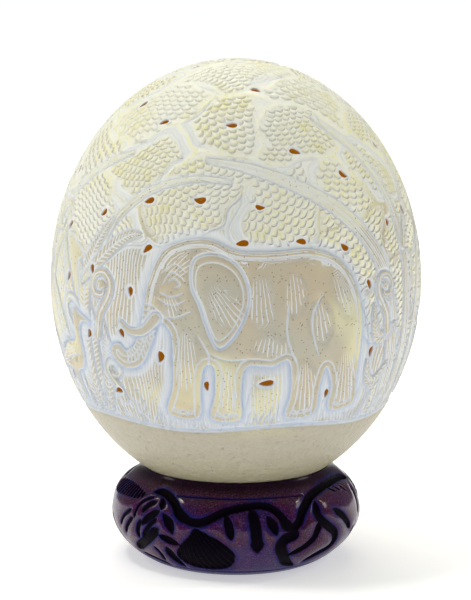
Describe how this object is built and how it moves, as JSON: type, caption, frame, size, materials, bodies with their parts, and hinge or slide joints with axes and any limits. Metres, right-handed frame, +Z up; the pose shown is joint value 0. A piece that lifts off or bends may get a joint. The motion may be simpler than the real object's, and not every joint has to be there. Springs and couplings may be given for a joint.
{
  "type": "carved ostrich egg on a wooden ring stand",
  "caption": "A blown ostrich egg, carved in low relief with animals, trees and leaves and pierced with small holes, resting in a dark carved wooden ring",
  "frame": {"origin": "on the surface that the stand rests on, under the middle of the ring and of the egg", "axes": "+Z up along the egg's long axis, -Y towards the viewer of the main carved side, +X to the viewer's right"},
  "size_m": [0.127, 0.127, 0.1724],
  "materials": {
    "eggshell": "satin cream shell with chalky white cuts",
    "dark_wood": "polished purple-brown hardwood with near-black gouges"
  },
  "bodies": {
    "root": {"egg_shell": "eggshell", "ring_stand": "dark_wood"}
  },
  "joints": []
}
